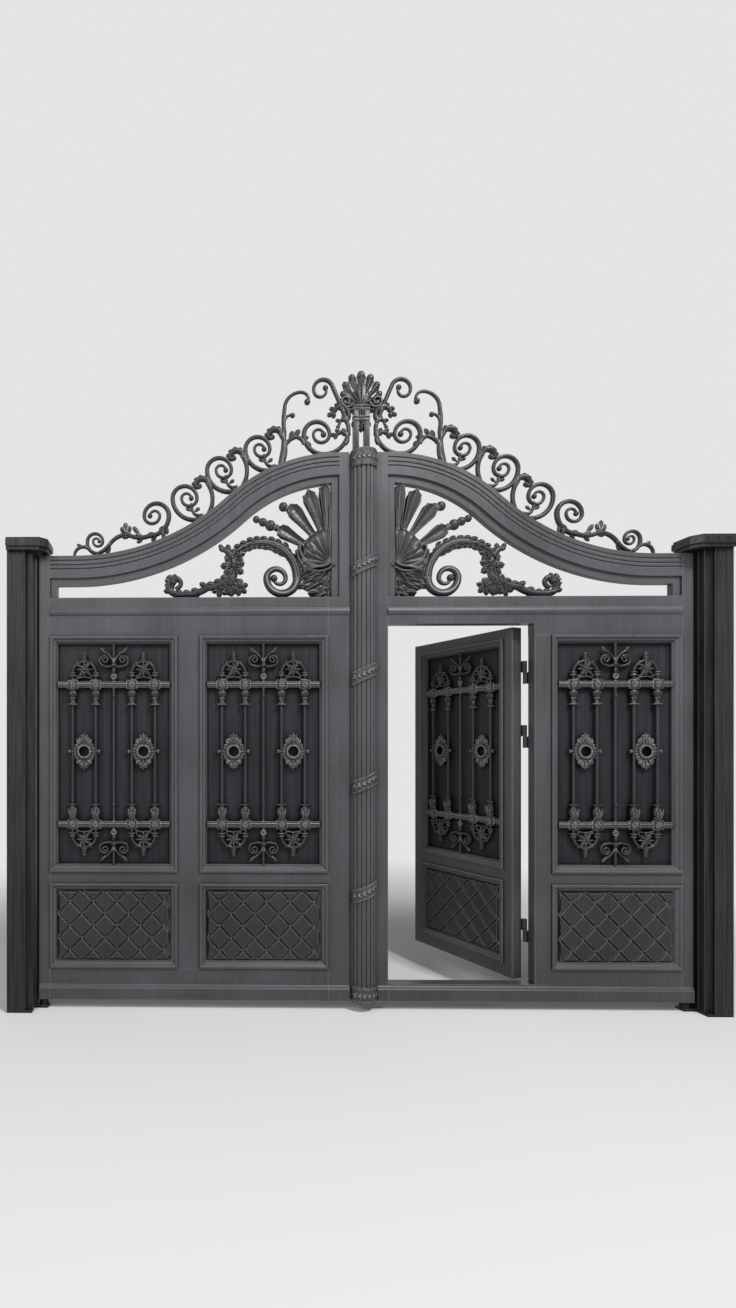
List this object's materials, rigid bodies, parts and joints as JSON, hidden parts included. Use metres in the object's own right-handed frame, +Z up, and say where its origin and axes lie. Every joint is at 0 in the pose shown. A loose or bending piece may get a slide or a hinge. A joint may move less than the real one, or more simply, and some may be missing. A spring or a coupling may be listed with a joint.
{
  "type": "arched metal gate",
  "caption": "Double-leaf metal driveway gate with an arched scroll top, panelled leaves with ornamental grilles, a reeded centre column and a wicket door, hung on posts.",
  "frame": {"origin": "centre of the left post's foot, on its underside, seen from the street", "axes": "+X along the gate to the right post, +Y through the gate into the property, +Z up"},
  "size_m": [3.972, 0.9261, 3.599],
  "materials": {
    "frame_metal": "satin charcoal coat",
    "post_metal": "brushed charcoal coat",
    "panel": "satin charcoal coat",
    "cast_ornament": "rubbed charcoal coat on castings",
    "hardware": "dark oiled steel"
  },
  "bodies": {
    "posts": {"left_cap": "post_metal", "left_foot": "post_metal", "left_post": "post_metal", "right_cap": "post_metal", "right_foot": "post_metal", "right_post": "post_metal"},
    "left_leaf": {"left_arch_rail": "frame_metal", "left_bottom_rail": "frame_metal", "left_cresting": "cast_ornament", "left_fan": "cast_ornament", "left_hinge_stile": "frame_metal", "left_inner_grille": "cast_ornament", "left_inner_lower_panel": "panel", "left_inner_window_panel": "panel", "left_lock_rail_inner": "frame_metal", "left_lock_rail_outer": "frame_metal", "left_meeting_stile": "frame_metal", "left_mullion": "frame_metal", "left_outer_grille": "cast_ornament", "left_outer_lower_panel": "panel", "left_outer_window_panel": "panel", "left_transom": "frame_metal"},
    "right_leaf": {"column": "cast_ornament", "finial": "cast_ornament", "right_arch_rail": "frame_metal", "right_bottom_rail": "frame_metal", "right_cresting": "cast_ornament", "right_fan": "cast_ornament", "right_grille": "cast_ornament", "right_hinge_stile": "frame_metal", "right_lock_rail": "frame_metal", "right_lower_panel": "panel", "right_meeting_stile": "frame_metal", "right_mullion": "frame_metal", "right_transom": "frame_metal", "right_window_panel": "panel", "wicket_hinge_pins": "hardware"},
    "wicket": {"wicket_bottom_rail": "frame_metal", "wicket_grille": "cast_ornament", "wicket_hinge_knuckles": "hardware", "wicket_hinge_stile": "frame_metal", "wicket_latch": "hardware", "wicket_lock_rail": "frame_metal", "wicket_lock_stile": "frame_metal", "wicket_lower_panel": "panel", "wicket_top_rail": "frame_metal", "wicket_window_panel": "panel"}
  },
  "joints": [
    {"name": "left_leaf_hinge", "type": "hinge", "parent": "posts", "child": "left_leaf", "pos_m": [0.117, 0, 0.053], "axis": [0, 0, 1], "range_deg": [0, 90]},
    {"name": "right_leaf_hinge", "type": "hinge", "parent": "posts", "child": "right_leaf", "pos_m": [3.715, 0, 0.053], "axis": [0, 0, -1], "range_deg": [0, 90]},
    {"name": "wicket_hinge", "type": "hinge", "parent": "right_leaf", "child": "wicket", "pos_m": [2.856, 0.052, 0.426], "axis": [0, 0, -1], "range_deg": [-69, 21]}
  ]
}
